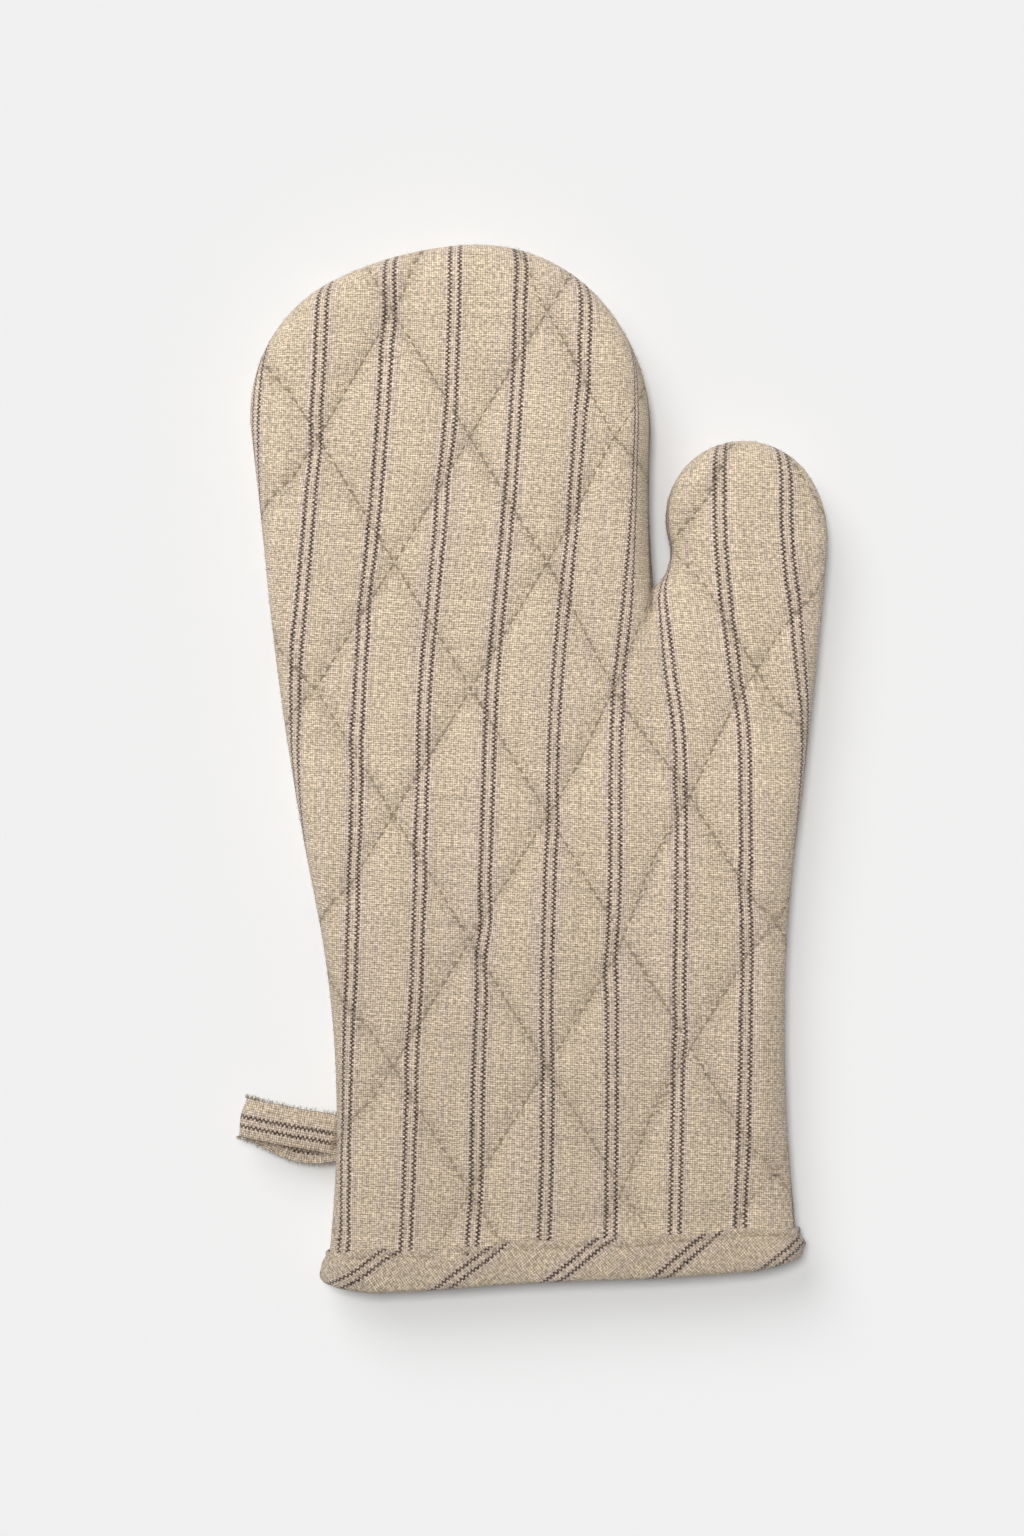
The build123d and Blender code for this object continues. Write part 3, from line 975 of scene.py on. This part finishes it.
def binding():
    """The bias strip folded round the hem, as one closed ring, with stripes at a slant."""
    loop = hem_loop(22, 230)
    bases = {rise: hem_points(loop, rise) for rise in (0.0, BINDING_WIDTH)}
    length = np.linalg.norm(np.diff(bases[0.0], axis=0, append=bases[0.0][:1]), axis=1)
    along = np.concatenate(([0], np.cumsum(length)[:-1]))
    around = along / length.sum() * 2 * pi
    tape = 0.0
    rows, maps = [], []
    for index, (rise, out) in enumerate(BINDING_PROFILE):
        share = rise / BINDING_WIDTH
        base = bases[0.0] * (1 - share) + bases[BINDING_WIDTH] * share
        ripple = 0.16 * np.sin(around * 31 + rise * 0.9) + 0.22 * np.sin(around * 13 + 1.3 + rise * 0.4)
        ripple *= np.clip(abs(out + 2.6) / 3, 0, 1) * np.sign(out + 2.6)
        outside = 1.0 if out > -0.5 else 0.0
        wrinkles = np.sin((along + 1.3 * rise) / 1.3 + 1.5 * np.sin(around * 7))
        ripple += outside * 0.20 * wrinkles * smoothstep(1, 6, rise)
        wander = 0.5 * np.sin(around * 5 + 0.8) + 0.4 * np.sin(around * 14 + 2.0)
        wander *= smoothstep(3, 12, rise)
        wander += 0.3 * np.sin(around * 4 + 2.2) * (1 - smoothstep(0, 5, rise))
        near_end = np.minimum(np.linalg.norm(base - base[loop[:, 0] < 0.001].mean(0), axis=1),
                              np.linalg.norm(base - base[loop[:, 0] > 0.999].mean(0), axis=1))
        by_end = 1 - smoothstep(0, 15, near_end)
        corner_lift = CORNER_RISE * by_end * (1 - smoothstep(0, 9, rise))
        wander += corner_lift - 0.9 * by_end * smoothstep(9, 12, rise)
        ripple += outside * 1.1 * by_end * sin(pi * min(max(rise / BINDING_WIDTH, 0), 1))
        lift = np.append(hem_up, 0.0) * wander[:, None]
        rows.append(base + loop_normals(base) * (out + ripple)[:, None] + lift)
        if index:
            before = BINDING_PROFILE[index - 1]
            tape += hypot(rise - before[0], out - before[1])
        maps.append(np.stack((along, np.full(len(along), tape)), 1))
    count, sections = len(along), len(rows)
    points, tape_uv, faces = np.concatenate(rows), [], []
    for section in range(sections):
        following = (section + 1) % sections
        for k in range(count):
            k2 = (k + 1) % count
            here, there = section * count, following * count
            faces.append((here + k, there + k, there + k2, here + k2))
            far_tape = maps[following][k, 1] if following else tape + 2.0
            near, k_end = maps[section][k, 1], along[k] + length[k]
            tape_uv += [(along[k], near), (along[k], far_tape), (k_end, far_tape), (k_end, near)]
    tape_uv = np.array(tape_uv)
    slant = radians(BIAS_ANGLE)
    weave = np.stack((tape_uv[:, 0] * sin(slant) + tape_uv[:, 1] * cos(slant) + BIAS_SHIFT,
                      tape_uv[:, 0] * cos(slant) - tape_uv[:, 1] * sin(slant)), 1)
    piece = make_piece("bias_binding", points, faces, binding_cloth)
    layer = piece.data.uv_layers.new(name="weave")
    layer.data.foreach_set("uv", weave.astype(np.float32).ravel())
    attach(piece, "mitt")
    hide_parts("cuff_binding")
    binding_stitches(bases, length, along, around)


def binding_stitches(bases, length, along, around):
    """One row of stitches near the binding's upper edge, all round."""
    share = BINDING_STITCH_RISE / BINDING_WIDTH
    line = bases[0.0] * (1 - share) + bases[BINDING_WIDTH] * share
    line = line + loop_normals(line) * 0.5
    wander = 0.35 * np.sin(around * 5 + 0.8) + 0.25 * np.sin(around * 11 + 2.0)
    wander = wander * smoothstep(3, 12, BINDING_STITCH_RISE)
    ripple = 0.16 * np.sin(around * 31 + 9.54) + 0.22 * np.sin(around * 13 + 5.54)
    line = line + np.append(hem_up, 0.0) * wander[:, None] + loop_normals(line) * ripple[:, None]
    at = np.arange(0, length.sum() - 2, 3.2)
    spots = np.stack([np.interp(at, along, line[:, k]) for k in range(3)], 1)
    normals = loop_normals(line)
    lifts = np.stack([np.interp(at, along, normals[:, k]) for k in range(3)], 1)
    ahead = unit(np.gradient(spots, axis=0))
    parts, strand = stitch_row(spots, ahead, lifts, 2.3, 0.24)
    row = thread_piece("binding_stitch_row", parts, strand)
    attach(row, "mitt")
    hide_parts("binding_stitching")


def seam_stitches():
    """Ladder of stitches in the side seam's groove."""
    line = resample(outline_above(BINDING_WIDTH + 2), 2.9)
    normals = inward_normals(line)
    spots = np.column_stack((line + normals * (SEAM_GROOVE + 0.1), np.full(len(line), SEAM_Z)))
    ahead = unit(np.gradient(spots, axis=0))
    lifts = np.column_stack((-normals, np.zeros(len(line))))
    parts, strand = stitch_row(spots, ahead, lifts, 2.2, 0.25)
    piece = thread_piece("side_seam_stitches", parts, strand)
    over_the_fold(piece, "side_seam_thread")


def overlock():
    """The trimmed seam allowance inside the mitt, as one wavy flange."""
    edge = resample(outline_above(BINDING_WIDTH + 3), 1.6)
    inward = inward_normals(edge)
    section = [(5.5, 0.9), (7.5, 1.15), (9.8, 1.05), (10.7, 0.0),
               (9.8, -1.05), (7.5, -1.15), (5.5, -0.9)]
    count = len(section)
    around = np.arange(len(edge))
    rows = []
    for depth, height in section:
        wavy = 0.35 * np.sin(around * 1.9) * (depth > 9)
        level = SEAM_Z + height + 0.12 * np.sin(around * 1.9 + depth)
        rows.append(np.column_stack((edge + inward * (depth + wavy)[:, None], level)))
    points = np.stack(rows, 1).reshape(-1, 3)
    faces = [tuple(range(count))[::-1]]
    for ring in range(len(edge) - 1):
        for turn in range(count):
            a, b = ring * count + turn, ring * count + (turn + 1) % count
            faces.append((a, b, b + count, a + count))
    faces.append(tuple((len(edge) - 1) * count + turn for turn in range(count)))
    across = np.tile([depth + height for depth, height in section], len(edge))
    weave = np.stack((np.repeat(around * 1.6, count), across), 1)
    maps = {"weave": weave, "strand": weave}
    piece = make_piece("overlocked_allowance", points, faces, overlock_look, maps)
    over_the_fold(piece, "seam_overlock")


def smooth_line(points, count):
    """Catmull-Rom line through points."""
    padded = np.vstack((2 * points[0] - points[1], points, 2 * points[-1] - points[-2]))
    at = np.linspace(0, len(points) - 1.0001, count)
    base = at.astype(int)
    t = (at - base)[:, None]
    a, b, c, d = (padded[base + k] for k in range(4))
    square, cube = 2 * a - 5 * b + 4 * c - d, 3 * b - a - 3 * c + d
    return 0.5 * (2 * b + (c - a) * t + square * t ** 2 + cube * t ** 3)


def hanging_loop():
    """The folded strip, with its frayed edges and the bar tack that holds it."""
    route = smooth_line(LOOP_ROUTE, 90)
    ahead = unit(np.gradient(route, axis=0))
    wide = np.tile((-0.20, -1.0, 0.0), (len(route), 1))
    wide = unit(wide - ahead * (wide * ahead).sum(1)[:, None])
    out = np.cross(ahead, wide)
    length = np.concatenate(([0], np.cumsum(np.linalg.norm(np.diff(route, axis=0), axis=1))))
    across = np.linspace(-0.5, 0.5, 17)
    rings, weave = [], []
    draw = np.random.default_rng(5)
    edge_noise = np.convolve(draw.normal(0, 0.16, len(route)), np.ones(3) / 3, "same")
    for sign in (1, -1):
        for share in across[::sign]:
            swell = 1 - (2 * share) ** 6 * 0.45
            jag = edge_noise * np.clip(abs(share) * 4 - 1, 0, 1) * np.sign(share)
            curl = 0.35 * np.cos(2 * share * pi) - 0.2
            place = route + wide * (share * LOOP_STRIP + jag)[:, None]
            place = place + out * (sign * LOOP_CLOTH / 2 * swell + curl)
            rings.append(place)
            weave.append(np.stack((np.full(len(route), share * LOOP_STRIP + LOOP_STRIPE), length), 1))
    count = len(rings)
    points = np.stack(rings, 1).reshape(-1, 3)
    weave = np.stack(weave, 1).reshape(-1, 2)
    faces = [tuple(range(count))] + band_faces(len(route), count)
    faces.append(tuple((len(route) - 1) * count + turn for turn in reversed(range(count))))
    strap = make_piece("loop_strap", points, faces, loop_cloth, {"weave": weave})
    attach(strap, "loop")
    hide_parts("hanging_loop")
    loop_fray(route, ahead, wide, out, draw)
    loop_tack(route, ahead, wide, out)


def loop_fray(route, ahead, wide, out, draw):
    """Loose thread ends along both edges of the loop's strip."""
    parts, strand = [], []
    for _ in range(520):
        at = draw.integers(2, len(route) - 6)
        edge = draw.choice((-0.5, 0.5))
        place = route[at] + wide[at] * edge * LOOP_STRIP * 0.98 + out[at] * draw.uniform(-0.45, 0.35)
        outward = wide[at] * np.sign(edge) * draw.uniform(0.5, 1.5) + ahead[at] * draw.normal(0, 0.45)
        outward = outward + out[at] * draw.normal(0, 0.3)
        bend = ahead[at] * draw.normal(0, 0.25)
        steps = np.linspace(0, 1, 4)[:, None]
        parts.append(tube(place + outward * steps + bend * steps ** 2, 0.075, 3))
        strand.append(strand_maps(4, 3, 0.3))
    fray = thread_piece("loop_frayed_edges", parts, strand, fray_thread)
    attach(fray, "loop")


def loop_tack(route, ahead, wide, out):
    """The bar tack over the strip's two ends, as rows of short slanting stitches."""
    spots, headings, lifts = [], [], []
    for row in np.linspace(-0.45, 0.45, 11):
        for side in (1, -1):
            at = 4 if side > 0 else len(route) - 5
            spots.append(route[at] + wide[at] * row * 9.0 + out[at] * (LOOP_CLOTH / 2 + 0.12))
            headings.append(ahead[at] * 0.9 + wide[at] * (0.42 if row > 0 else -0.42))
            lifts.append(out[at])
    parts, strand = stitch_row(np.array(spots), np.array(headings), np.array(lifts), 1.9, 0.26)
    tack = thread_piece("loop_bar_tack", parts, strand)
    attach(tack, "loop")
    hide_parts("loop_stitching")


cloth_layers()
for side, front in SIDES:
    quilt_stitches(side, front)
    surface_fibres(side, front, 2600 if front else 1200)
binding()
seam_stitches()
overlock()
hanging_loop()
